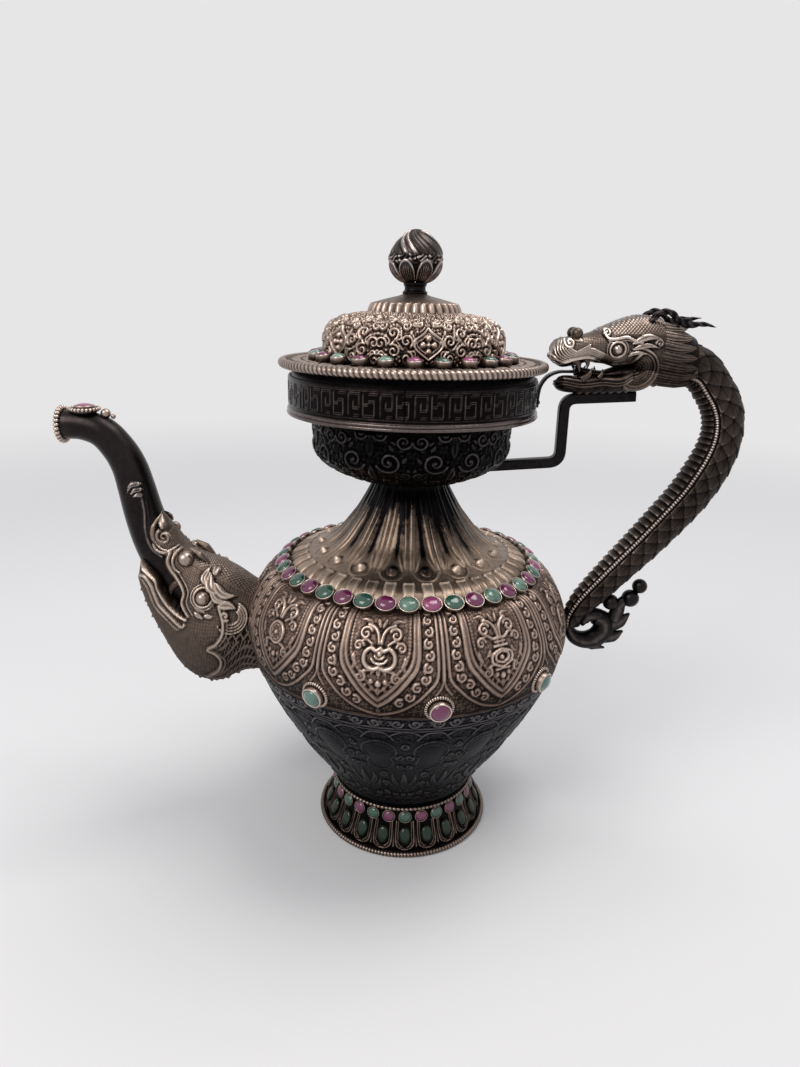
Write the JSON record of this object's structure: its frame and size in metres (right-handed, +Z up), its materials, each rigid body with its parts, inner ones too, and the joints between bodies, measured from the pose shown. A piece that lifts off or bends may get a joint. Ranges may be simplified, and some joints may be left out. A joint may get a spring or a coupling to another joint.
{
  "type": "silver ewer",
  "caption": "Pedestal ewer of chased silver with a lift-off lid, a makara-head spout, a dragon handle and rows of ruby and emerald cabochons.",
  "frame": {"origin": "on the ground, under the middle of the ewer's whole length", "axes": "+Z up along the vessel, -X towards the spout, +X towards the handle, Y across"},
  "size_m": [0.3246, 0.167, 0.3003],
  "materials": {
    "silver": "tarnished chased silver, bright on the high spots",
    "dark_silver": "blackened polished silver",
    "wire": "worn bright milled silver",
    "ruby": "polished cabochon",
    "emerald": "polished cabochon"
  },
  "bodies": {
    "vessel": {"foot_shell": "silver", "foot_rim_wire": "wire", "foot_joint_wire": "wire", "foot_stone_row": "silver", "body_lower": "silver", "body_upper": "silver", "neck_shoulder": "dark_silver", "shoulder_stone_row": "silver", "cup_bowl": "dark_silver", "collar_band": "dark_silver", "boss_bezel_1": "wire", "boss_stone_1": "emerald", "boss_bezel_2": "wire", "boss_stone_2": "ruby", "boss_bezel_3": "wire", "boss_stone_3": "emerald", "boss_bezel_4": "wire", "boss_stone_4": "emerald", "boss_bezel_5": "wire", "boss_stone_5": "ruby", "boss_bezel_6": "wire", "boss_stone_6": "emerald", "spout_tube": "dark_silver", "spout_mouth_ring": "wire", "spout_disc": "wire", "spout_stone": "ruby", "spout_ball": "wire", "makara_head": "silver", "makara_crest": "silver", "makara_eye_near": "wire", "makara_ear_near": "silver", "dragon_eye_near": "wire", "dragon_nose_bead_near": "wire", "dragon_antler_near": "dark_silver", "grip_bead_line_near": "wire", "makara_eye_far": "wire", "makara_ear_far": "silver", "dragon_eye_far": "wire", "dragon_nose_bead_far": "wire", "dragon_antler_far": "dark_silver", "grip_bead_line_far": "wire", "dragon_skull": "silver", "dragon_jaw": "silver", "dragon_mane": "silver", "grip_body": "dark_silver", "tail_finial": "dark_silver", "handle_lug": "silver", "tongue_strap": "dark_silver", "z_bracket": "dark_silver"},
    "lid": {"lid_flange": "silver", "lid_rim_wire": "wire", "lid_plug": "dark_silver", "lid_stone_row": "silver", "lid_dome": "silver", "lid_cap": "silver", "finial_stem": "dark_silver", "finial_bud": "dark_silver"}
  },
  "joints": [
    {"name": "lid_lift", "type": "slide", "parent": "vessel", "child": "lid", "axis": [0, 0, 1], "range_m": [0, 0.08]}
  ]
}
